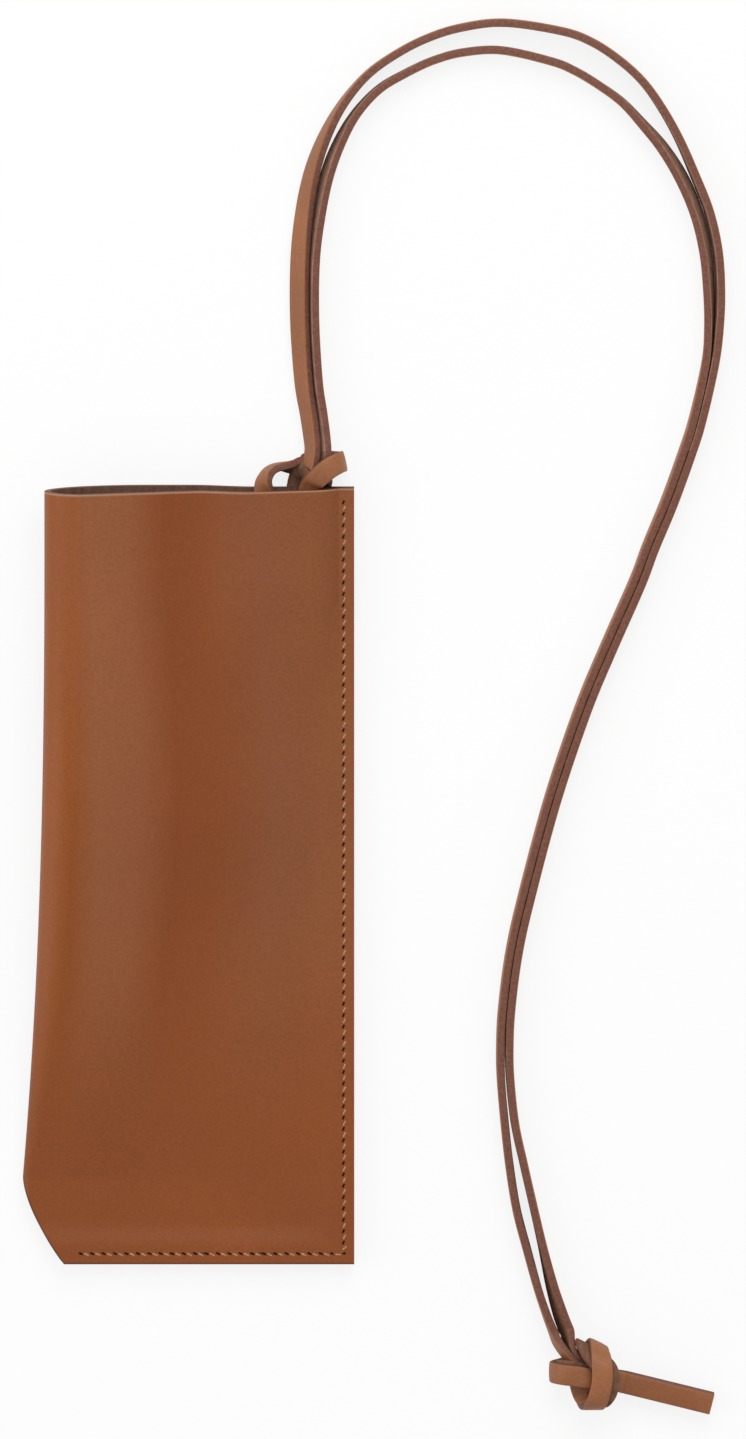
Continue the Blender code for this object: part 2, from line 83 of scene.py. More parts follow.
lace = {
    "width": 0.0048,
    "thickness": 0.00184,
    "rounding": 0.00040,
    "cornerSteps": 3,
    "dome": 0.00010,           # how far the grain side swells in its middle
    "domeShares": (0.6, 0.2, -0.2, -0.6),
    "faceShare": 0.86,         # of the half thickness, beyond which a side is grain or flesh
    "step": 0.8,               # millimetres between the rings of the strands
    "turnStep": 0.5,           # and in the hitch and the knot
    "knotThickness": 0.00134,  # leather squeezed in the knot
    "knotGap": 0.00004,
    "tightenOver": 0.0065,     # run over which the knot squeezes the strands together
    "loosenOver": 0.0040,      # and lets the tails go
    "turnOverAt": 0.0945,      # the outer strand turns over under the hitch, this far up
    "shadedFleshBelow": 0.0985,       # and up to here the flesh side takes the darker lace flesh, as painted shade under the hitch
    "tailLength": 0.0207,
    "tailSteps": 24,
    "seatGap": 0.0003,
}

# x, y, height, half the distance between the strands, each strand's lean from upright
strapRoute = (
    (27.3, 87.6, 1.10, 2.75, 90, 90),
    (27.7, 89.5, 1.12, 2.70, 90, 90),
    (27.95, 91.0, 1.55, 2.65, 90, 90),
    (28.5, 92.4, 3.50, 2.30, 72, 76),
    (29.0, 93.9, 5.00, 1.60, 36, 42),
    (29.5, 95.7, 5.20, 1.36, 30, 28),
    (29.8, 98.8, 4.30, 1.30, 32, 26),
    (29.6, 101.8, 3.30, 1.34, 34, 23),
    (29.0, 107.0, 2.80, 1.45, 37, 17),
    (28.0, 114.5, 2.75, 1.58, 42, 11),
    (27.2, 128.6, 2.75, 1.64, 47, 9),
    (27.3, 142.7, 2.75, 1.64, 46, 12),
    (28.4, 153.6, 2.75, 1.70, 38, 19),
    (30.2, 162.4, 2.70, 1.74, 28, 20),
    (33.1, 170.2, 2.70, 1.80, 16, 14),
    (37.0, 177.1, 2.65, 1.88, 4, 4),
    (42.3, 183.1, 2.65, 2.10, -3, -2),
    (48.4, 187.2, 2.65, 2.40, -6, -5),
    (55.2, 190.6, 2.65, 2.58, -7, -7),
    (62.6, 192.8, 2.65, 2.80, -8, -8),
    (72.0, 193.6, 2.65, 3.15, -8, -8),
    (84.0, 191.4, 2.65, 3.62, -8, -8),
    (90.1, 189.1, 2.65, 3.80, -7, -7),
    (96.0, 185.4, 2.65, 3.68, -6, -6),
    (101.3, 181.0, 2.65, 3.33, -5, -3),
    (105.8, 175.5, 2.65, 2.86, -6, 3),
    (110.2, 169.1, 2.70, 2.10, -7, 12),
    (114.2, 161.4, 2.70, 1.48, -9, 19),
    (117.5, 153.2, 2.70, 1.39, -9, 19),
    (119.5, 144.4, 2.70, 1.35, -9, 17),
    (120.2, 135.3, 2.70, 1.27, -8, 13),
    (120.1, 126.9, 2.70, 1.13, -6, 7),
    (119.2, 118.2, 2.70, 1.00, -4, 1),
    (116.3, 105.1, 2.65, 0.99, -3, -2),
    (113.8, 97.1, 2.65, 0.98, -3, -3),
    (109.9, 86.2, 2.65, 0.98, -3, -3),
    (105.7, 75.9, 2.60, 0.98, -2, -2),
    (102.7, 67.8, 2.60, 0.98, -2, -2),
    (96.1, 52.6, 2.60, 0.98, -2, -2),
    (90.3, 38.4, 2.60, 0.98, -2, -2),
    (83.4, 17.6, 2.60, 0.98, -2, -2),
    (77.5, -4.7, 2.60, 0.98, -2, -2),
    (74.6, -17.9, 2.60, 0.98, -2, -2),
    (72.9, -31.2, 2.60, 0.99, -2, -2),
    (72.5, -40.3, 2.60, 1.00, -2, -2),
    (72.7, -47.6, 2.60, 1.02, -2, -1),
    (73.7, -57.9, 2.60, 1.14, -2, 0),
    (75.3, -67.7, 2.60, 1.62, -2, 0),
    (77.2, -77.5, 2.60, 1.93, -2, 0),
    (79.5, -86.9, 2.65, 1.80, -6, 0),
    (81.8, -95.9, 2.75, 1.62, -18, -2),
    (83.9, -102.6, 2.85, 1.50, -28, -6),
    (85.2, -105.9, 2.95, 1.45, -30, -12),
)

# x, y, height, direction that the flesh side faces
hitchRoute = (
    (24.55, 87.85, 1.10, 0, 0, 1),
    (22.6, 82.8, 1.10, 0, 0, 1),
    (20.8, 79.0, 1.12, 0, 0.1, 1),
    (20.5, 76.7, 1.50, 0, 0.5, 0.9),
    (20.4, 75.95, 2.50, 0, 0.95, 0.3),
    (20.4, 75.85, 3.45, 0, 1, 0),
    (20.4, 75.95, 4.40, 0, 0.95, -0.3),
    (20.4, 77.0, 5.60, 0, 0.5, -0.9),
    (20.2, 79.2, 5.85, 0, 0, -1),
    (19.0, 83.5, 5.90, 0.15, 0, -1),
    (17.8, 88.0, 6.50, 0.40, -0.05, -1),
    (17.3, 90.8, 6.40, 0.75, -0.15, -0.65),
    (17.7, 92.6, 6.00, 0.8, -0.45, -0.35),
    (18.9, 94.1, 5.20, 0.55, -0.85, -0.1),
    (20.8, 94.8, 4.30, 0.15, -1, 0.1),
    (22.6, 94.8, 3.40, 0.1, -0.95, 0.3),
    (24.2, 94.7, 2.40, 0.1, -0.75, 0.6),
    (25.9, 94.7, 1.75, 0.05, -0.6, 0.8),
    (27.7, 95.2, 1.25, 0, -0.15, 1),
    (31.2, 95.6, 1.10, 0, 0, 1),
    (33.3, 95.5, 1.35, -0.3, 0, 1),
    (34.8, 95.6, 2.60, -0.85, -0.2, 0.5),
    (35.1, 96.0, 4.80, -1, -0.2, 0),
    (34.4, 96.1, 7.40, -0.7, -0.2, -0.7),
    (32.2, 95.0, 8.80, -0.1, -0.1, -1),
    (29.4, 92.6, 8.30, 0, 0.4, -1),
    (28.2, 91.0, 6.55, 0, 0.5, -1),
    (27.1, 87.8, 5.70, 0, 0.1, -1),
    (26.0, 83.0, 5.70, 0, 0, -1),
    (25.75, 79.2, 5.85, 0, 0, -1),
    (25.7, 77.0, 5.60, 0, 0.5, -0.9),
    (25.7, 75.95, 4.40, 0, 0.95, -0.3),
    (25.7, 75.85, 3.45, 0, 1, 0),
    (25.7, 75.95, 2.50, 0, 0.95, 0.3),
    (25.8, 76.7, 1.50, 0, 0.5, 0.9),
    (26.5, 79.0, 1.12, 0, 0.1, 1),
    (28.6, 82.6, 1.10, 0, 0, 1),
    (29.90, 86.65, 1.10, 0, 0, 1),
)

# about the knot's middle: x, y, height, direction across the two thicknesses, and how far
# the under lace has slid out sideways
knotMiddle = (91.5, -115.9, 0)
knotRoute = (
    (-6.15, 9.55, 3.05, 0.86, 0.38, -0.35, 0),
    (-5.8, 8.5, 3.5, 0.87, 0.38, -0.32, 0),
    (-5.1, 6.9, 4.4, 0.87, 0.4, -0.3, 0),
    (-4.3, 5.4, 5.2, 0.85, 0.4, -0.35, 0),
    (-3.5, 4.2, 5.5, 0.85, 0.38, -0.42, 0),
    (-2.7, 3.0, 5.3, 0.68, 0.3, -0.70, 0),
    (-2.1, 1.4, 5.05, 0.15, 0.05, -1, 0),
    (-1.8, -1.4, 4.9, 0, 0, -1, 0),
    (-1.1, -3.8, 4.5, 0, 0.2, -1, 0),
    (-0.2, -5.4, 5.2, 0, -0.4, -0.8, 0),
    (0.8, -6.1, 7.6, 0, -1, 0, 0.3),
    (2.0, -5.0, 10.1, 0, -0.5, 0.9, 0.5),
    (3.0, -2.2, 11.0, 0, 0, 1, 0.8),
    (3.4, 0.8, 11.0, 0, 0, 1, 0.8),
    (3.2, 3.4, 10.6, 0.1, 0.35, 0.93, 0.3),
    (2.5, 5.8, 8.8, 0.4, 0.85, 0.45, -0.9),
    (2.1, 6.7, 5.8, 0.45, 0.9, -0.15, -1.4),
    (1.5, 5.9, 2.9, 0.25, 0.6, -0.75, -0.8),
    (0.4, 4.1, 1.65, 0, 0, -1, 0),
    (-2.8, 1.9, 1.55, 0, 0, -1, 0),
    (-5.7, 1.0, 1.8, -0.2, 0, -1, 0),
    (-7.4, 0.9, 4.9, -1, 0, 0, -0.2),
    (-5.6, 0.9, 8.0, -0.3, 0, 1, -0.4),
    (-2.6, 0.6, 8.3, 0, 0, 1, -0.4),
    (0.6, 0.1, 8.1, 0.15, 0, 1, -0.2),
    (3.2, -0.6, 6.2, 0.6, 0, 1, 0),
    (6.0, -1.3, 3.4, 0.4, 0, 1, 0),
    (8.5, -1.95, 2.45, 0, 0, 1, 0),
)

tailStart = (100.0, -117.85, 0)
tailTurnDegrees = -14


def smoothRows(route, spacing):
    rows = np.array(route, dtype=float)
    padded = np.vstack([2 * rows[0] - rows[1], rows, 2 * rows[-1] - rows[-2]])
    smooth = []
    for index in range(len(rows) - 1):
        p0, p1, p2, p3 = padded[index:index + 4]
        steps = math.ceil(np.linalg.norm((p2 - p1)[:3]) / spacing)
        for t in np.arange(steps) / steps:
            smooth.append(0.5 * (2 * p1 + (p2 - p0) * t + (2 * p0 - 5 * p1 + 4 * p2 - p3) * t * t
                                 + (3 * p1 - p0 - 3 * p2 + p3) * t ** 3))
    smooth.append(rows[-1])
    return np.array(smooth)


def directions(places):
    steps = np.diff(places, axis=0)
    steps /= np.linalg.norm(steps, axis=1)[:, None]
    return np.vstack([steps[:1], steps[:-1] + steps[1:], steps[-1:]])


def easeStep(value):
    t = min(max(value, 0.0), 1.0)
    return t * t * (3 - 2 * t)


# order of the materials on every piece of leather
grainSide, cutEdge, fleshSide, shadedFlesh = range(4)
sharpDegrees = 35


def laceSection(thickness, v):
    # ring of (across, through), with the grain side up and slightly swollen
    rounding = v["rounding"]
    flatWidth = v["width"] / 2 - rounding
    flatThickness = thickness / 2 - rounding
    ring = []
    for corner, (signA, signT) in enumerate(((1, 1), (-1, 1), (-1, -1), (1, -1))):
        for step in range(v["cornerSteps"] + 1):
            angle = math.pi / 2 * (corner + step / v["cornerSteps"])
            ring.append((signA * flatWidth + rounding * math.cos(angle),
                         signT * flatThickness + rounding * math.sin(angle)))
        if corner in (0, 2):
            for share in v["domeShares"]:
                rise = v["dome"] * (1 - share * share) if corner == 0 else 0
                ring.append((signA * flatWidth * share, signT * thickness / 2 + rise))
    return ring


def sideOf(first, second, thickness, v):
    # which side of the lace a stretch of the ring lies on
    height = (first[1] + second[1]) / thickness
    if abs(height) <= v["faceShare"]:
        return cutEdge
    return grainSide if height > 0 else fleshSide


def sweepLace(bm, places, throughs, grainSign, thicknesses, v, startAlong=None, endAlong=None):
    # throughs point across the thickness; a grain sign of 1 puts the grain on that side
    places = np.array(places)
    tangents = directions(places)
    if startAlong:
        tangents[0] = startAlong
    if endAlong:
        tangents[-1] = endAlong
    runs = np.linalg.norm(np.diff(places, axis=0), axis=1)
    lengths = np.concatenate([[0], np.cumsum(runs)])
    uvLayer = bm.loops.layers.uv.verify()
    rings = []
    for place, tangent, through, thickness in zip(places, tangents, throughs, thicknesses):
        along = Vector(tangent).normalized()
        outward = Vector(through) * grainSign
        outward = (outward - along * outward.dot(along)).normalized()
        across = along.cross(outward)
        section = laceSection(thickness, v)
        rings.append([bm.verts.new(Vector(place) + across * a + outward * t) for a, t in section])
    count = len(section)
    for index, (first, second) in enumerate(zip(rings, rings[1:])):
        for start in range(count):
            end = (start + 1) % count
            face = bm.faces.new((first[start], second[start], second[end], first[end]))
            face.material_index = sideOf(section[start], section[end], thicknesses[-1], v)
            face.smooth = True
            corners = ((index, start), (index + 1, start), (index + 1, start + 1), (index, start + 1))
            for loop, (row, column) in zip(face.loops, corners):
                loop[uvLayer].uv = (lengths[row], column * v["width"] / count)
    for ring, flip in ((rings[0], False), (rings[-1], True)):
        cap = bm.faces.new(list(reversed(ring)) if flip else ring)
        cap.material_index = cutEdge
    bmesh.ops.recalc_face_normals(bm, faces=bm.faces)


def finishMesh(name, bm, materials):
    mesh = bpy.data.meshes.new(name)
    bm.to_mesh(mesh)
    bm.free()
    piece = bpy.data.objects.new(name, mesh)
    bpy.context.scene.collection.objects.link(piece)
    for material in materials:
        mesh.materials.append(material)
    mesh.set_sharp_from_angle(angle=math.radians(sharpDegrees))
    return piece


def strandStations(side, v):
    # side is 1 for the outer strand, on the left of its travel, and -1 for the inner one
    rows = smoothRows(strapRoute, v["step"])
    tangents = directions(rows[:, :2])
    places = []
    throughs = []
    for row, tangent in zip(rows, tangents):
        along = Vector(tangent).normalized()
        left = Vector((-along.y, along.x, 0))
        lean = math.radians(row[4] if side > 0 else row[5])
        places.append((Vector(row[:3]) + left * side * row[3]) * millimetre)
        throughs.append(left * math.cos(lean) + Vector((0, 0, math.sin(lean))))
    return places, throughs


def makeStrand(name, side, materials, v):
    places, throughs = strandStations(side, v)
    bm = bmesh.new()
    # the outer strand turns over where the hitch hides it
    turn = next(index for index, place in enumerate(places) if place.y > v["turnOverAt"])
    thicknesses = [v["thickness"]] * len(places)
    if side > 0:
        sweepLace(bm, places[:turn + 1], throughs[:turn + 1], -1, thicknesses[:turn + 1], v)
        sweepLace(bm, places[turn:], throughs[turn:], 1, thicknesses[turn:], v)
    else:
        sweepLace(bm, places, throughs, -1, thicknesses, v)
    piece = finishMesh(name, bm, materials)
    # painted shade: the flesh side under the hitch takes the darker lace flesh
    for face in piece.data.polygons:
        if face.material_index == fleshSide and face.center.y < v["shadedFleshBelow"]:
            face.material_index = shadedFlesh
    length = sum((b - a).length for a, b in zip(places, places[1:]))
    return piece, places, length


def makeHitch(materials, v):
    rows = smoothRows(hitchRoute, v["turnStep"])
    bm = bmesh.new()
    thicknesses = [v["thickness"]] * len(rows)
    sweepLace(bm, rows[:, :3] * millimetre, [Vector(row[3:]) for row in rows], -1, thicknesses, v)
    return finishMesh("strapHitch", bm, materials)


def tailHeading():
    turn = math.radians(tailTurnDegrees)
    return Vector((math.cos(turn), math.sin(turn), 0))


def makeKnot(materials, v):
    rows = smoothRows(knotRoute, v["turnStep"])
    middle = np.array(knotMiddle)
    tight = (v["knotThickness"] + v["knotGap"]) / 2
    bm = bmesh.new()
    for side in (1, -1):
        strandPlaces, strandThroughs = strandStations(side, v)
        along = (strandPlaces[-1] - strandPlaces[-2]).normalized()
        strandLeft = Vector((-along.y, along.x, 0)).normalized()
        places = [strandPlaces[-1]]
        throughs = [strandThroughs[-1]]
        thicknesses = [v["thickness"]]
        centres = [Vector((row[:3] + middle) * millimetre) for row in rows]
        headings = directions(rows[:, :3])
        steps = [(after - before).length for before, after in zip(centres, centres[1:])]
        looseIn = (strandPlaces[-1] - centres[0]).length
        looseOut = (v["thickness"] + v["seatGap"]) / 2
        for index, row in enumerate(rows[1:], 1):
            through = Vector(row[3:6]).normalized()
            spread = through
            slide = Vector(headings[index]).cross(through) * row[6] * millimetre if side < 0 else Vector()
            easeIn = easeStep(sum(steps[:index]) / v["tightenOver"])
            easeOut = easeStep(sum(steps[index:]) / v["loosenOver"])
            ease = min(easeIn, easeOut)
            if easeIn < 1:
                spread = strandLeft.lerp(through, easeIn)
                through = strandThroughs[-1].lerp(through, easeIn).normalized()
            loose = looseIn if easeIn < easeOut else looseOut
            places.append(centres[index] + spread * side * (loose + (tight - loose) * ease) + slide)
            throughs.append(through)
            thicknesses.append(v["thickness"] + (v["knotThickness"] - v["thickness"]) * ease)
        sweepLace(bm, places, throughs, side, thicknesses, v, along, tailHeading())
    return finishMesh("endKnot", bm, materials)


def makeTail(name, level, materials, v):
    heading = tailHeading()
    height = v["seatGap"] + v["thickness"] / 2 + level * (v["thickness"] + v["seatGap"])
    start = Vector(tailStart) * millimetre + Vector((0, 0, height))
    steps = v["tailSteps"]
    places = [start + heading * v["tailLength"] * step / steps for step in range(steps + 1)]
    bm = bmesh.new()
    up = [Vector((0, 0, 1))] * len(places)
    grainSign = 1 if level else -1
    sweepLace(bm, places, up, grainSign, [v["thickness"]] * len(places), v)
    return finishMesh(name, bm, materials)


# sleeve: one piece of leather folded over on the left

sleeveLow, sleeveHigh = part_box("case_body")
sleeve = {
    "right": sleeveHigh[0],
    "left": sleeveLow[0],
    "mouth": sleeveHigh[1],
    "bottom": sleeveLow[1],
    "leather": 0.0016,
    "panelGap": 0.0003,
    "mouthHeight": 0.0164,
    "mouthNarrowing": 0.0053,
    "openingEase": 2.6,
    "foldHeightShare": 0.61,   # height of the fold's edge in the height of the mouth
    "frontCurlAtMouth": 0.0082,
    "backCurlAtMouth": 0.0240,
    "cornerCutHeight": 0.0200,
    "cornerCutWidth": 0.0093,
    "cornerBend": 0.65,
    "seamBand": 0.0036,
    "seamLift": 0.0010,
    "seamBlend": 0.0060,
    "strapLift": 0.0026,
    "legBulge": 0.0019,
    "roomLeft": 0.0230,
    "roomDepth": 0.0180,
    "roomBlend": 0.0140,
    "roomRunIn": 0.0440,
    "seamColumns": 5,
    "panelColumns": 44,
    "panelCrowding": 1.6,
    "foldColumns": 40,
    "rows": 120,
    "rowCrowding": 1.35,       # rows crowd towards the bottom
}
slot = {
    "fromSide": 0.0150,
    "fromMouth": 0.0140,
    "sideClearance": 0.0006,
    "height": 0.0034,
    "endSteps": 8,
}


def openness(y, v):
    foldBottom = v["bottom"] + v["cornerCutHeight"]
    t = (y - foldBottom) / (v["mouth"] - foldBottom)
    return 1 - (1 - min(max(t, 0.0), 1.0)) ** v["openingEase"]


def opened(y, atBottom, atMouth, v):
    return atBottom + (atMouth - atBottom) * openness(y, v)


def flatRadius(v):
    return v["leather"] + v["panelGap"] / 2


def sleeveHeight(y, v):
    return opened(y, 2 * flatRadius(v), v["mouthHeight"], v)


def foldEdge(y, v):
    return v["left"] + v["mouthNarrowing"] * openness(y, v)


def foldEdgeHeight(y, v):
    return opened(y, flatRadius(v), v["foldHeightShare"] * v["mouthHeight"], v)


def backCurl(y, v):
    return opened(y, flatRadius(v), v["backCurlAtMouth"], v)


def frontCurl(y, v):
    return opened(y, flatRadius(v), v["frontCurlAtMouth"], v)


def strapRoom(x, y, v):
    fromLeft = (x - (v["right"] - v["roomLeft"]) + v["roomBlend"]) / v["roomBlend"]
    fromBelow = (y - (v["mouth"] - v["roomDepth"]) + v["roomRunIn"]) / v["roomRunIn"]
    return easeStep(fromLeft) * easeStep(fromBelow)


def backHeight(x, y, v):
    fromSeam = min(v["right"] - x, y - v["bottom"])
    seam = v["seamLift"] * (1 - easeStep((fromSeam - v["seamBand"]) / v["seamBlend"]))
    return seam + (v["strapLift"] - seam) * strapRoom(x, y, v)


def frontHeight(x, y, v):
    seamInner = v["right"] - v["seamBand"]
    stack = 2 * flatRadius(v)
    share = min(max((seamInner - x) / (seamInner - foldEdge(y, v) - frontCurl(y, v)), 0.0), 1.0)
    body = stack + (sleeveHeight(y, v) - stack) * share
    pinch = easeStep((seamInner - x) / v["seamBand"])
    return backHeight(x, y, v) + body + v["legBulge"] * strapRoom(x, y, v) * pinch


def sleeveColumns(v):
    # columns of a panel crowd towards the fold, where the corner is cut off
    seam = [("seam", step / v["seamColumns"]) for step in range(v["seamColumns"] + 1)]
    panel = [("panel", 1 - (1 - (step + 1) / v["panelColumns"]) ** v["panelCrowding"])
             for step in range(v["panelColumns"])]
    fold = [("fold", (step + 1) / v["foldColumns"]) for step in range(v["foldColumns"] - 1)]
    back = [(kind, share, backHeight, backCurl) for kind, share in seam + panel]
    front = [(kind, share, frontHeight, frontCurl) for kind, share in reversed(seam + panel)]
    return back + [(kind, share, None, None) for kind, share in fold] + front


def lowerEdge(fromEdge, v):
    share = min(fromEdge / v["cornerCutWidth"], 1.0)
    return v["bottom"] + v["cornerCutHeight"] * (1 - share ** v["cornerBend"])


def sleevePoint(kind, share, height, curl, along, v):
    # along is 0 at the leather's lower edge and 1 at the mouth
    seamInner = v["right"] - v["seamBand"]
    flatWidth = seamInner - v["left"] - flatRadius(v)
    angle = -math.pi / 2 - math.pi * share
    outward = 1 + math.cos(angle)
    if kind == "fold":
        fromEdge = flatRadius(v) * outward
    else:
        fromEdge = flatRadius(v) + flatWidth * (1 - share if kind == "panel" else 1)
    low = lowerEdge(fromEdge, v)
    y = low + (v["mouth"] - low) * along
    if kind == "fold":
        rise = math.sin(angle)
        middle = foldEdgeHeight(y, v)
        reach = middle if rise < 0 else sleeveHeight(y, v) - middle
        turn = backCurl(y, v) if rise < 0 else frontCurl(y, v)
        return (foldEdge(y, v) + turn * outward, y, middle + reach * rise)
    if kind == "seam":
        x = v["right"] - v["seamBand"] * share
    else:
        x = seamInner + (foldEdge(y, v) + curl(y, v) - seamInner) * share
    return (x, y, height(x, y, v))


def makeSleeve(materials, cutters, v):
    bm = bmesh.new()
    uvLayer = bm.loops.layers.uv.verify()
    fromCut = bm.verts.layers.float.new("fromCut")
    columns = sleeveColumns(v)
    grid = []
    for column in columns:
        points = [sleevePoint(*column, (row / v["rows"]) ** v["rowCrowding"], v)
                  for row in range(v["rows"] + 1)]
        grid.append([bm.verts.new(point) for point in points])
    for before, line, after in zip(grid[:1] + grid, grid, grid[1:] + grid[-1:]):
        edge = (after[0].co - before[0].co).normalized()
        for vert in line:
            vert[fromCut] = (vert.co.y - line[0].co.y) * math.sqrt(max(0.0, 1 - edge.y * edge.y))
    across = [0.0]
    for left, right in zip(grid, grid[1:]):
        across.append(across[-1] + (right[-1].co - left[-1].co).length)
    for column, (left, right) in enumerate(zip(grid, grid[1:])):
        for row in range(v["rows"]):
            face = bm.faces.new((left[row], right[row], right[row + 1], left[row + 1]))
            face.smooth = True
            corners = ((column, row), (column + 1, row), (column + 1, row + 1), (column, row + 1))
            for loop, (c, r) in zip(face.loops, corners):
                loop[uvLayer].uv = (across[c], grid[c][r].co.y)
    body = finishMesh("sleeve", bm, materials)
    shell = body.modifiers.new("leather", "SOLIDIFY")
    shell.thickness = v["leather"]
    shell.offset = -1
    shell.use_even_offset = True
    shell.use_quality_normals = True
    shell.material_offset = fleshSide
    shell.material_offset_rim = cutEdge
    for cutter in cutters:
        cut = body.modifiers.new(cutter.name, "BOOLEAN")
        cut.operation = "DIFFERENCE"
        cut.solver = "EXACT"
        cut.object = cutter
    evaluated = body.evaluated_get(bpy.context.evaluated_depsgraph_get())
    finished = bpy.data.meshes.new_from_object(evaluated)
    body.modifiers.clear()
    body.data = finished
    for cutter in cutters:
        bpy.data.objects.remove(cutter, do_unlink=True)
    body.data.set_sharp_from_angle(angle=math.radians(sharpDegrees))
    return body


# seam: one row of slanted holes down the side and along the bottom, with a thread on each face

seam = {
    "margin": 0.0024,
    "pitch": 0.00264,
    "firstFromMouth": 0.0032,
    "lastFromCut": 0.0040,
    "holeLength": 0.00098,
    "holeWidth": 0.00044,
    "holeDepth": 0.0010,
    "holeInward": 0.00008,     # holes lie a little inside the thread
    "slantDegrees": -26,
    "stitchLength": 0.00200,
    "threadRadius": 0.00026,
    "threadRise": 0.00042,
    "threadDip": 0.00055,
    "threadOutward": 0.00014,
    "threadSteps": 8,          # along a stitch
    "threadSides": 8,          # and round it
}


def seamPlaces(s, v):
    # (x, y) of each hole, from the mouth round the corner to the cut
    sideX = v["right"] - s["margin"]
    rowY = v["bottom"] + s["margin"]
    sideRun = v["mouth"] - s["firstFromMouth"] - rowY
    bottomRun = sideX - (v["left"] + v["cornerCutWidth"] + s["lastFromCut"])
    sideCount = round(sideRun / s["pitch"])
    bottomCount = round(bottomRun / s["pitch"])
    places = [(sideX, rowY + sideRun * (1 - step / sideCount)) for step in range(sideCount + 1)]
    places += [(sideX - bottomRun * step / bottomCount, rowY) for step in range(1, bottomCount + 1)]
    return places


def pointCurve(name, points):
    curve = bpy.data.curves.new(name, "CURVE")
    curve.dimensions = "3D"
    spline = curve.splines.new("POLY")
    spline.points.add(len(points) - 1)
    for point, place in zip(spline.points, points):
        point.co = (*place, 1)
    line = bpy.data.objects.new(name, curve)
    bpy.context.scene.collection.objects.link(line)
    return line


def newTree(name, inputs):
    tree = bpy.data.node_groups.new(name, "GeometryNodeTree")
    tree.interface.new_socket("Geometry", in_out="INPUT", socket_type="NodeSocketGeometry")
    for label, socketType in inputs:
        tree.interface.new_socket(label, in_out="INPUT", socket_type=socketType)
    tree.interface.new_socket("Geometry", in_out="OUTPUT", socket_type="NodeSocketGeometry")
    return tree, tree.nodes.new("NodeGroupInput"), tree.nodes.new("NodeGroupOutput")


def seamInstances(tree, groupIn, shape):
    # one copy of a shape on each point, turned along the seam and then slanted
    nodes, link = tree.nodes, tree.links.new
    tangent = nodes.new("GeometryNodeInputTangent")
    align = nodes.new("FunctionNodeAlignRotationToVector")
    align.axis = "X"
    align.pivot_axis = "Z"
    link(tangent.outputs["Tangent"], align.inputs["Vector"])
    turn = nodes.new("ShaderNodeCombineXYZ")
    link(groupIn.outputs["Flip"], turn.inputs["X"])
    link(groupIn.outputs["Slant"], turn.inputs["Z"])
    toRotation = nodes.new("FunctionNodeEulerToRotation")
    link(turn.outputs["Vector"], toRotation.inputs["Euler"])
    rotate = nodes.new("FunctionNodeRotateRotation")
    rotate.rotation_space = "LOCAL"
    link(align.outputs["Rotation"], rotate.inputs["Rotation"])
    link(toRotation.outputs["Rotation"], rotate.inputs["Rotate By"])
    copies = nodes.new("GeometryNodeInstanceOnPoints")
    link(groupIn.outputs["Geometry"], copies.inputs["Points"])
    link(shape, copies.inputs["Instance"])
    link(rotate.outputs["Rotation"], copies.inputs["Rotation"])
    return copies.outputs["Instances"]


def endTree(tree, groupIn, groupOut, instances):
    nodes, link = tree.nodes, tree.links.new
    real = nodes.new("GeometryNodeRealizeInstances")
    paint = nodes.new("GeometryNodeSetMaterial")
    link(instances, real.inputs["Geometry"])
    link(real.outputs["Geometry"], paint.inputs["Geometry"])
    link(groupIn.outputs["Material"], paint.inputs["Material"])
    link(paint.outputs["Geometry"], groupOut.inputs["Geometry"])


def holeTree():
    tree, groupIn, groupOut = newTree("seamHoles", (
        ("Length", "NodeSocketFloat"), ("Width", "NodeSocketFloat"), ("Depth", "NodeSocketFloat"),
        ("Slant", "NodeSocketFloat"), ("Flip", "NodeSocketFloat"), ("Material", "NodeSocketMaterial")))
    size = tree.nodes.new("ShaderNodeCombineXYZ")
    block = tree.nodes.new("GeometryNodeMeshCube")
    for label, axis in (("Length", "X"), ("Width", "Y"), ("Depth", "Z")):
        tree.links.new(groupIn.outputs[label], size.inputs[axis])
    tree.links.new(size.outputs["Vector"], block.inputs["Size"])
    endTree(tree, groupIn, groupOut, seamInstances(tree, groupIn, block.outputs["Mesh"]))
    return tree


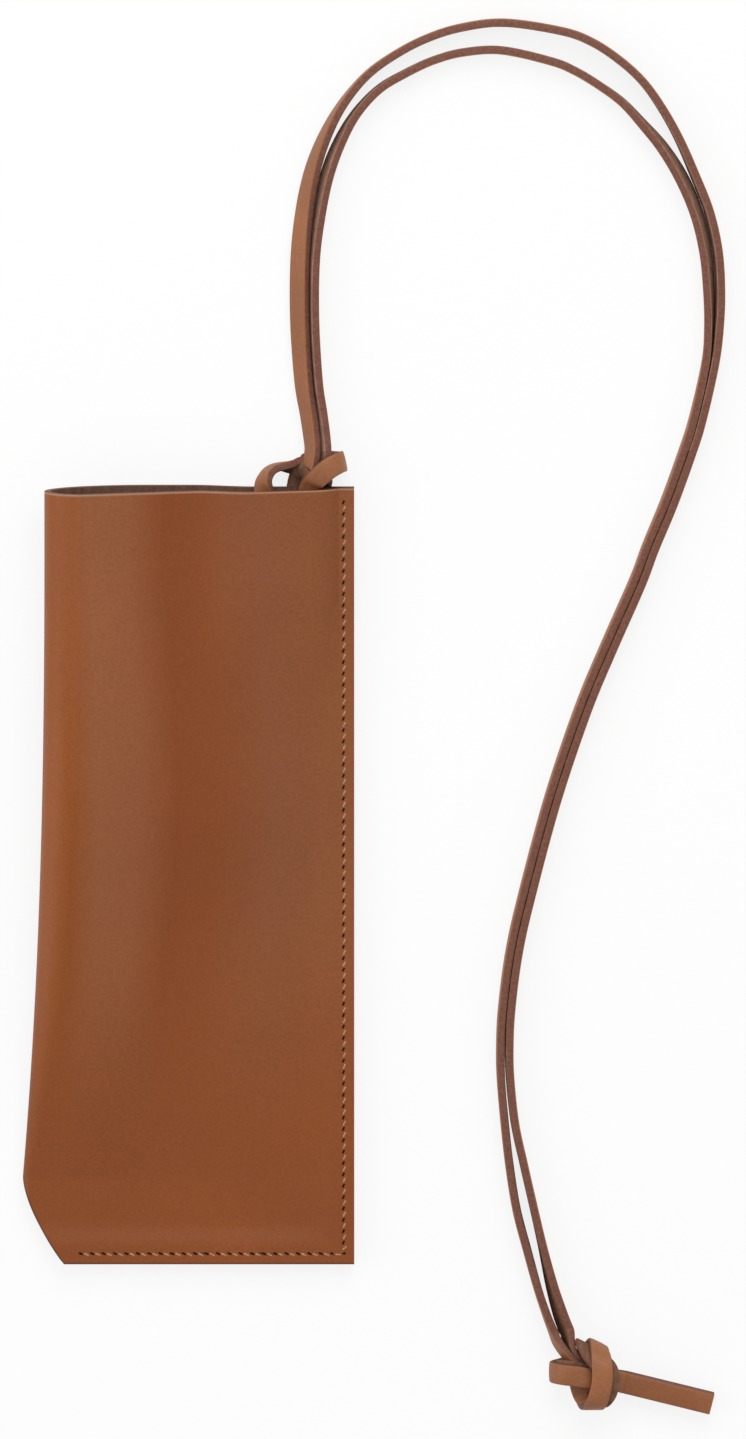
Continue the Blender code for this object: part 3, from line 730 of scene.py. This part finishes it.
def stitchTree(s):
    tree, groupIn, groupOut = newTree("seamStitches", (
        ("Length", "NodeSocketFloat"), ("Radius", "NodeSocketFloat"), ("Rise", "NodeSocketFloat"),
        ("Dip", "NodeSocketFloat"), ("Slant", "NodeSocketFloat"), ("Flip", "NodeSocketFloat"),
        ("Material", "NodeSocketMaterial")))
    nodes, link = tree.nodes, tree.links.new
    scaled = []
    for label, factor in (("Length", 0.5), ("Length", -0.5), ("Dip", -1)):
        times = nodes.new("ShaderNodeMath")
        times.operation = "MULTIPLY"
        times.inputs[1].default_value = factor
        link(groupIn.outputs[label], times.inputs[0])
        scaled.append(times.outputs[0])
    half, minusHalf, minusDip = scaled
    arch = nodes.new("GeometryNodeCurveQuadraticBezier")
    arch.inputs["Resolution"].default_value = s["threadSteps"]
    for label, along, height in (("Start", minusHalf, minusDip),
                                 ("Middle", None, groupIn.outputs["Rise"]),
                                 ("End", half, minusDip)):
        place = nodes.new("ShaderNodeCombineXYZ")
        if along:
            link(along, place.inputs["X"])
        link(height, place.inputs["Z"])
        link(place.outputs["Vector"], arch.inputs[label])
    ring = nodes.new("GeometryNodeCurvePrimitiveCircle")
    ring.inputs["Resolution"].default_value = s["threadSides"]
    link(groupIn.outputs["Radius"], ring.inputs["Radius"])
    thread = nodes.new("GeometryNodeCurveToMesh")
    thread.inputs["Fill Caps"].default_value = True
    link(arch.outputs["Curve"], thread.inputs["Curve"])
    link(ring.outputs["Curve"], thread.inputs["Profile Curve"])
    smooth = nodes.new("GeometryNodeSetShadeSmooth")
    link(thread.outputs["Mesh"], smooth.inputs["Geometry"])
    endTree(tree, groupIn, groupOut, seamInstances(tree, groupIn, smooth.outputs["Geometry"]))
    return tree


def growOn(name, points, tree, values):
    # runs a tree on a row of points and keeps its result as a plain mesh
    line = pointCurve(name + "Line", points)
    modifier = line.modifiers.new(tree.name, "NODES")
    modifier.node_group = tree
    for item in tree.interface.items_tree:
        if item.in_out == "INPUT" and item.name in values:
            modifier[item.identifier] = values[item.name]
    bpy.context.view_layer.update()
    evaluated = line.evaluated_get(bpy.context.evaluated_depsgraph_get())
    mesh = bpy.data.meshes.new_from_object(evaluated)
    bpy.data.objects.remove(line, do_unlink=True)
    mesh.name = name
    grown = bpy.data.objects.new(name, mesh)
    bpy.context.scene.collection.objects.link(grown)
    return grown


def makeHoles(name, surface, material, s, v):
    # holes reach part of the way in from the face, so that they look dark
    points = []
    for x, y in seamPlaces(s, v):
        height = surface(x, y, v)
        onSide = y > v["bottom"] + s["margin"] + s["pitch"] / 2
        points.append((x - s["holeInward"] * onSide, y + s["holeInward"] * (not onSide), height))
    return growOn(name, points, holeTree(), {
        "Length": s["holeLength"], "Width": s["holeWidth"], "Depth": 2 * s["holeDepth"],
        "Slant": math.radians(s["slantDegrees"]), "Flip": 0.0, "Material": material})


def makeStitches(name, front, tree, material, s, v):
    places = seamPlaces(s, v)
    points = []
    for (x0, y0), (x1, y1) in zip(places, places[1:]):
        x, y = (x0 + x1) / 2, (y0 + y1) / 2
        height = frontHeight(x, y, v) if front else backHeight(x, y, v)
        run = math.hypot(x1 - x0, y1 - y0)
        outward = (-(y1 - y0) / run, (x1 - x0) / run)
        points.append((x + outward[0] * s["threadOutward"], y + outward[1] * s["threadOutward"], height))
    return growOn(name, points, tree, {
        "Length": s["stitchLength"], "Radius": s["threadRadius"], "Rise": s["threadRise"],
        "Dip": s["threadDip"], "Slant": math.radians(s["slantDegrees"]),
        "Flip": 0.0 if front else math.pi, "Material": material})


def makeSlot(material, v):
    # slot with round ends through the back panel, which the hitch passes through
    length = 2 * lace["width"] + 2 * slot["sideClearance"]
    radius = slot["height"] / 2
    reach = length / 2 - radius
    middleX = v["right"] - slot["fromSide"]
    middleY = v["mouth"] - slot["fromMouth"]
    low = backHeight(middleX, middleY, v) - v["leather"] / 2
    high = low + 2 * v["leather"]
    outline = []
    for side in (1, -1):
        for step in range(slot["endSteps"] + 1):
            angle = -math.pi / 2 + math.pi * step / slot["endSteps"]
            outline.append((middleX + side * (reach + radius * math.cos(angle)),
                            middleY + side * radius * math.sin(angle)))
    bm = bmesh.new()
    below = [bm.verts.new((x, y, low)) for x, y in outline]
    above = [bm.verts.new((x, y, high)) for x, y in outline]
    bm.faces.new(list(reversed(below)))
    bm.faces.new(above)
    for start in range(len(outline)):
        end = (start + 1) % len(outline)
        bm.faces.new((below[start], below[end], above[end], above[start]))
    return finishMesh("strapSlot", bm, [material])


# materials

def newMaterial(name, roughness, specular):
    material = bpy.data.materials.new(name)
    material.use_nodes = True
    shader = material.node_tree.nodes["Principled BSDF"]
    shader.inputs["Roughness"].default_value = roughness
    shader.inputs["Specular IOR Level"].default_value = specular
    return material, shader


def addNode(material, kind, **inputs):
    node = material.node_tree.nodes.new(kind)
    for label, value in inputs.items():
        node.inputs[label].default_value = value
    return node


def noiseOn(material, source, scale, detail=3.0, roughness=0.55, stretch=(1, 1, 1)):
    # noise whose features are about 1 / scale metres wide
    links = material.node_tree.links
    mapping = addNode(material, "ShaderNodeMapping")
    mapping.inputs["Scale"].default_value = stretch
    noise = addNode(material, "ShaderNodeTexNoise", Scale=scale, Detail=detail, Roughness=roughness)
    links.new(source, mapping.inputs["Vector"])
    links.new(mapping.outputs["Vector"], noise.inputs["Vector"])
    return noise.outputs["Fac"]


def rampOn(material, value, stops):
    ramp = addNode(material, "ShaderNodeValToRGB")
    elements = ramp.color_ramp.elements
    while len(elements) < len(stops):
        elements.new(0.5)
    for element, (position, colour) in zip(elements, stops):
        element.position = position
        element.color = (*colour, 1)
    material.node_tree.links.new(value, ramp.inputs["Fac"])
    return ramp.outputs["Color"]


def mixColours(material, factor, first, second, mode="MIX"):
    mix = addNode(material, "ShaderNodeMix")
    mix.data_type = "RGBA"
    mix.blend_type = mode
    links = material.node_tree.links
    # a mix node has number and colour sockets of the same name
    colours = {socket.name: socket for socket in mix.inputs if socket.type == "RGBA"}
    for target, value in ((mix.inputs["Factor"], factor), (colours["A"], first), (colours["B"], second)):
        if isinstance(value, (int, float)):
            target.default_value = value
        elif isinstance(value, tuple):
            target.default_value = (*value, 1)
        else:
            links.new(value, target)
    return [socket for socket in mix.outputs if socket.type == "RGBA"][0]


def bumpFrom(material, height, strength, distance, normal=None):
    bump = addNode(material, "ShaderNodeBump", Strength=strength, Distance=distance)
    links = material.node_tree.links
    links.new(height, bump.inputs["Height"])
    if normal:
        links.new(normal, bump.inputs["Normal"])
    return bump.outputs["Normal"]


def cellsOn(material, source, scale):
    cells = addNode(material, "ShaderNodeTexVoronoi", Scale=scale)
    material.node_tree.links.new(source, cells.inputs["Vector"])
    return cells.outputs["Distance"]


def objectPlace(material):
    return addNode(material, "ShaderNodeTexCoord").outputs["Object"]


# a bump is its strength and its depth in metres
grainLook = {
    "main": (0.236, 0.066, 0.0170),
    "mottle": 0.05,
    "mottleScale": 22,
    "mottleDetail": 2.0,
    "speckle": 0.085,
    "speckleScale": 1500,
    "speckleDetail": 3.0,
    "toneStops": (0.32, 0.68),
    "roughness": 0.46,
    "roughnessSpread": 0.05,
    "roughnessNoise": (240, 3.0),
    "specular": 0.30,
    "poreScale": 2600,
    "poreBump": (0.18, 0.00006),
    "creaseNoise": (900, 3.0),
    "creaseBump": (0.20, 0.0002),
}
sleeveSheenAndShade = {
    "bands": (                 # painted sheen and shade bands, from the fold to the seam, at shares of the sleeve's width
        (0.02, (0.300, 0.090, 0.0240)),
        (0.12, (0.258, 0.064, 0.0070)),
        (0.21, (0.270, 0.086, 0.0300)),
        (0.33, (0.256, 0.078, 0.0260)),
        (0.44, (0.216, 0.051, 0.0080)),
        (0.56, (0.221, 0.054, 0.0095)),
        (0.74, (0.230, 0.071, 0.0235)),
        (0.97, (0.238, 0.072, 0.0200)),
    ),
    "wander": 0.22,            # how far the bands' borders wander
    "wanderNoise": (14, 1.0, 0.4, (1, 0.7, 1)),
    # painted shade: a deeper colour towards the bottom edge
    "lower": (0.240, 0.061, 0.0105),
    "lowerReach": 0.75,        # share of the way down to the bottom edge
}
# painted highlight and shade along the sleeve's edges
edgeHighlightAndShade = {
    "paintedEdgeShade": (0.085, 0.030, 0.014),
    "paintedEdgeShadeOver": 0.0006,   # painted shade: dark line beside the cut edges, which face away from the light
    "paintedMouthHighlight": (0.420, 0.215, 0.120),
    "paintedMouthHighlightOver": 0.0006,      # painted highlight: pale line beside the lit mouth edge
}


def paintedSheenBands(material, place, tone):
    # painted sheen and shade: colour that changes across the sleeve, with soft wandering borders, and a
    # deeper painted shade towards the bottom
    links = material.node_tree.links
    parts = addNode(material, "ShaderNodeSeparateXYZ")
    links.new(place, parts.inputs[0])
    share = addNode(material, "ShaderNodeMapRange")
    share.inputs["From Min"].default_value = sleeve["left"]
    share.inputs["From Max"].default_value = sleeve["right"]
    links.new(parts.outputs["X"], share.inputs["Value"])
    wander = addNode(material, "ShaderNodeMath")
    wander.operation = "MULTIPLY_ADD"
    wander.inputs[1].default_value = tone["wander"]
    links.new(noiseOn(material, place, *tone["wanderNoise"]), wander.inputs[0])
    moved = addNode(material, "ShaderNodeMath")
    moved.operation = "SUBTRACT"
    moved.inputs[1].default_value = tone["wander"] / 2
    links.new(share.outputs["Result"], wander.inputs[2])
    links.new(wander.outputs[0], moved.inputs[0])
    low = addNode(material, "ShaderNodeMapRange")
    low.interpolation_type = "SMOOTHSTEP"
    low.inputs["From Min"].default_value = 0.0
    low.inputs["From Max"].default_value = tone["lowerReach"] * sleeve["bottom"]
    links.new(parts.outputs["Y"], low.inputs["Value"])
    bands = rampOn(material, moved.outputs[0], tone["bands"])
    return mixColours(material, low.outputs["Result"], bands, tone["lower"])


def nearEdge(material, distance, reach):
    # 1 at the edge, falling to 0 over the reach
    share = addNode(material, "ShaderNodeMapRange")
    share.interpolation_type = "SMOOTHSTEP"
    share.inputs["From Max"].default_value = reach
    share.inputs["To Min"].default_value = 1
    share.inputs["To Max"].default_value = 0
    material.node_tree.links.new(distance, share.inputs["Value"])
    return share.outputs["Result"]


def paintEdgeHighlightAndShade(material, place, base, edgeLighting):
    links = material.node_tree.links
    fromCut = addNode(material, "ShaderNodeAttribute")
    fromCut.attribute_name = "fromCut"
    parts = addNode(material, "ShaderNodeSeparateXYZ")
    links.new(place, parts.inputs[0])
    fromMouth = addNode(material, "ShaderNodeMath")
    fromMouth.operation = "SUBTRACT"
    fromMouth.inputs[0].default_value = sleeve["mouth"]
    links.new(parts.outputs["Y"], fromMouth.inputs[1])
    # painted shade beside the cut edges and a painted highlight beside the mouth
    dark = nearEdge(material, fromCut.outputs["Fac"], edgeLighting["paintedEdgeShadeOver"])
    pale = nearEdge(material, fromMouth.outputs[0], edgeLighting["paintedMouthHighlightOver"])
    base = mixColours(material, dark, base, edgeLighting["paintedEdgeShade"])
    return mixColours(material, pale, base, edgeLighting["paintedMouthHighlight"])


def makeGrain(name, look, tone=None, edgeLighting=None):
    material, shader = newMaterial(name, look["roughness"], look["specular"])
    links = material.node_tree.links
    place = objectPlace(material)
    base = paintedSheenBands(material, place, tone) if tone else look["main"]
    low, high = look["toneStops"]
    for kind in ("mottle", "speckle"):
        cloud = noiseOn(material, place, look[kind + "Scale"], look[kind + "Detail"])
        shades = rampOn(material, cloud, ((low, (1 - look[kind],) * 3), (high, (1 + look[kind],) * 3)))
        base = mixColours(material, 1.0, base, shades, "MULTIPLY")
    if edgeLighting:
        base = paintEdgeHighlightAndShade(material, place, base, edgeLighting)
    links.new(base, shader.inputs["Base Color"])
    shine = addNode(material, "ShaderNodeMapRange")
    shine.inputs["To Min"].default_value = look["roughness"] - look["roughnessSpread"]
    shine.inputs["To Max"].default_value = look["roughness"] + look["roughnessSpread"]
    links.new(noiseOn(material, place, *look["roughnessNoise"]), shine.inputs["Value"])
    links.new(shine.outputs["Result"], shader.inputs["Roughness"])
    pores = cellsOn(material, place, look["poreScale"])
    creases = noiseOn(material, place, *look["creaseNoise"])
    normal = bumpFrom(material, creases, *look["creaseBump"])
    normal = bumpFrom(material, pores, *look["poreBump"], normal)
    links.new(normal, shader.inputs["Normal"])
    return material


# a noise is its scale, detail, roughness and stretch
fleshLook = {
    "dark": (0.100, 0.048, 0.034),
    "light": (0.185, 0.095, 0.068),
    "stops": (0.30, 0.70),
    "noise": (900, 6.0, 0.70, (1, 0.5, 1)),
    "bump": (0.6, 0.00025),
    "roughness": 0.85,
    "specular": 0.15,
}
edgeLook = {
    "dark": (0.070, 0.026, 0.014),
    "light": (0.230, 0.095, 0.048),
    "stops": (0.28, 0.72),
    "noise": (1400, 5.0, 0.65, (1, 1, 1)),
    "bump": (0.4, 0.00015),
    "roughness": 0.62,
    "specular": 0.25,
}
threadLook = {
    "dark": (0.340, 0.150, 0.075),
    "light": (0.520, 0.275, 0.160),
    "stops": (0.35, 0.65),
    "noise": (3200, 2.0, 0.55, (1, 1, 1)),
    "bump": (0.4, 0.0001),
    "roughness": 0.6,
    "specular": 0.3,
}


def makeFibres(name, look):
    # two colours mixed by a noise that also raises the surface
    material, shader = newMaterial(name, look["roughness"], look["specular"])
    links = material.node_tree.links
    fibres = noiseOn(material, objectPlace(material), *look["noise"])
    low, high = look["stops"]
    colour = rampOn(material, fibres, ((low, look["dark"]), (high, look["light"])))
    links.new(colour, shader.inputs["Base Color"])
    links.new(bumpFrom(material, fibres, *look["bump"]), shader.inputs["Normal"])
    return material


laceGrainLook = {**grainLook, "main": (0.302, 0.114, 0.0460), "mottle": 0.10, "mottleScale": 60}
tailGrainLook = {**laceGrainLook, "main": (0.280, 0.098, 0.0375)}
laceFleshLook = {**fleshLook, "dark": (0.125, 0.056, 0.034), "light": (0.255, 0.128, 0.080)}
# painted light: the strands' flesh side is lighter than the rest of the lace's flesh, standing in for light
# between the strands
litStrandFleshLook = {**fleshLook, "dark": (0.200, 0.105, 0.072), "light": (0.385, 0.222, 0.155)}
laceEdgeLook = {**edgeLook, "dark": (0.118, 0.044, 0.028), "light": (0.235, 0.096, 0.063)}

sleeveGrain = makeGrain("sleeveGrain", grainLook, sleeveSheenAndShade, edgeHighlightAndShade)
sleeveFlesh = makeFibres("sleeveFlesh", fleshLook)
sleeveEdge = makeFibres("sleeveEdge", edgeLook)
laceGrain = makeGrain("laceGrain", laceGrainLook)
laceFlesh = makeFibres("laceFlesh", laceFleshLook)
laceEdge = makeFibres("laceEdge", laceEdgeLook)
litStrandFlesh = makeFibres("litStrandFlesh", litStrandFleshLook)
seamThread = makeFibres("seamThread", threadLook)
tailGrain = makeGrain("tailGrain", tailGrainLook)
laceMaterials = [laceGrain, laceEdge, laceFlesh]
tailMaterials = [tailGrain, laceEdge, laceFlesh]
strandMaterials = [laceGrain, laceEdge, litStrandFlesh, laceFlesh]
print("materials made")


# cords

cords = []
for name, side, node in (("strandOuter", 1, "strap_strand_outer"), ("strandInner", -1, "strap_strand_inner")):
    cords.append((*makeStrand(name, side, strandMaterials, lace), node))

hitch = makeHitch(laceMaterials, lace)
knot = makeKnot(laceMaterials, lace)
tailLower = makeTail("tailLower", 0, tailMaterials, lace)
tailUpper = makeTail("tailUpper", 1, tailMaterials, lace)
onStrap = [hitch, knot, tailLower, tailUpper]
onStrapNodes = ["strap_hitch", "end_knot", "strap_tail_lower", "strap_tail_upper"]

strapPieces = [(strand, node) for strand, places, length, node in cords]
strapPieces += zip(onStrap, onStrapNodes)
for piece, node in strapPieces:
    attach(piece, "strap")
    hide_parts(node)
print("strap made")


# sleeve and seam

holesFront = makeHoles("holesFront", frontHeight, sleeveEdge, seam, sleeve)
holesBack = makeHoles("holesBack", backHeight, sleeveEdge, seam, sleeve)
strapSlot = makeSlot(sleeveEdge, sleeve)
sleeveBody = makeSleeve([sleeveGrain, sleeveEdge, sleeveFlesh], (holesFront, holesBack, strapSlot), sleeve)
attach(sleeveBody, "case")
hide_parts("case_body")
print("sleeve made")

stitches = stitchTree(seam)
for name, front, node in (("stitchesFront", True, "seam_thread_front"),
                          ("stitchesBack", False, "seam_thread_back")):
    row = makeStitches(name, front, stitches, seamThread, seam, sleeve)
    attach(row, "case")
    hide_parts(node)
print("stitches made")


# floor and light

studio = {
    "floorSize": 6.0,
    "floorDrop": 0.0003,
    "floorColour": (0.90, 0.90, 0.90),
    "floorRoughness": 0.9,
    "floorSpecular": 0.1,
    "cameraWhite": 0.82,       # share of the floor that the camera sees as plain white
    "worldStrength": 0.62,
    "lamps": (
        # name, place, watts, size
        ("keyLamp", (0.15, 0.95, 0.95), 9.0, 0.9),
        ("sideLamp", (-1.1, 0.1, 0.7), 4.0, 0.8),
    ),
}


def makeFloor(v):
    bm = bmesh.new()
    half = v["floorSize"] / 2
    corners = [bm.verts.new((x, y, -v["floorDrop"])) for x, y in
               ((-half, -half), (half, -half), (half, half), (-half, half))]
    bm.faces.new(corners)
    material = bpy.data.materials.new("paperFloor")
    material.use_nodes = True
    nodes, link = material.node_tree.nodes, material.node_tree.links.new
    shader = nodes["Principled BSDF"]
    shader.inputs["Base Color"].default_value = (*v["floorColour"], 1)
    shader.inputs["Roughness"].default_value = v["floorRoughness"]
    shader.inputs["Specular IOR Level"].default_value = v["floorSpecular"]
    white = nodes.new("ShaderNodeEmission")
    rays = nodes.new("ShaderNodeLightPath")
    share = nodes.new("ShaderNodeMath")
    share.operation = "MULTIPLY"
    share.inputs[1].default_value = v["cameraWhite"]
    mix = nodes.new("ShaderNodeMixShader")
    link(rays.outputs["Is Camera Ray"], share.inputs[0])
    link(share.outputs[0], mix.inputs["Fac"])
    link(shader.outputs["BSDF"], mix.inputs[1])
    link(white.outputs["Emission"], mix.inputs[2])
    link(mix.outputs["Shader"], nodes["Material Output"].inputs["Surface"])
    floor = finishMesh("paperFloor", bm, [material])


def makeLamps(v):
    world = bpy.data.worlds.new("studio")
    bpy.context.scene.world = world
    world.use_nodes = True
    world.node_tree.nodes["Background"].inputs["Color"].default_value = (1, 1, 1, 1)
    world.node_tree.nodes["Background"].inputs["Strength"].default_value = v["worldStrength"]
    for name, place, watts, size in v["lamps"]:
        lamp = bpy.data.objects.new(name, bpy.data.lights.new(name, "AREA"))
        lamp.data.energy = watts
        lamp.data.size = size
        lamp.location = place
        target = Vector(photoView["lookAt"])
        lamp.rotation_euler = (target - Vector(place)).to_track_quat("-Z", "Y").to_euler()
        bpy.context.scene.collection.objects.link(lamp)


makeFloor(studio)
makeLamps(studio)
bpy.context.scene.view_settings.view_transform = "Standard"
print("studio made")
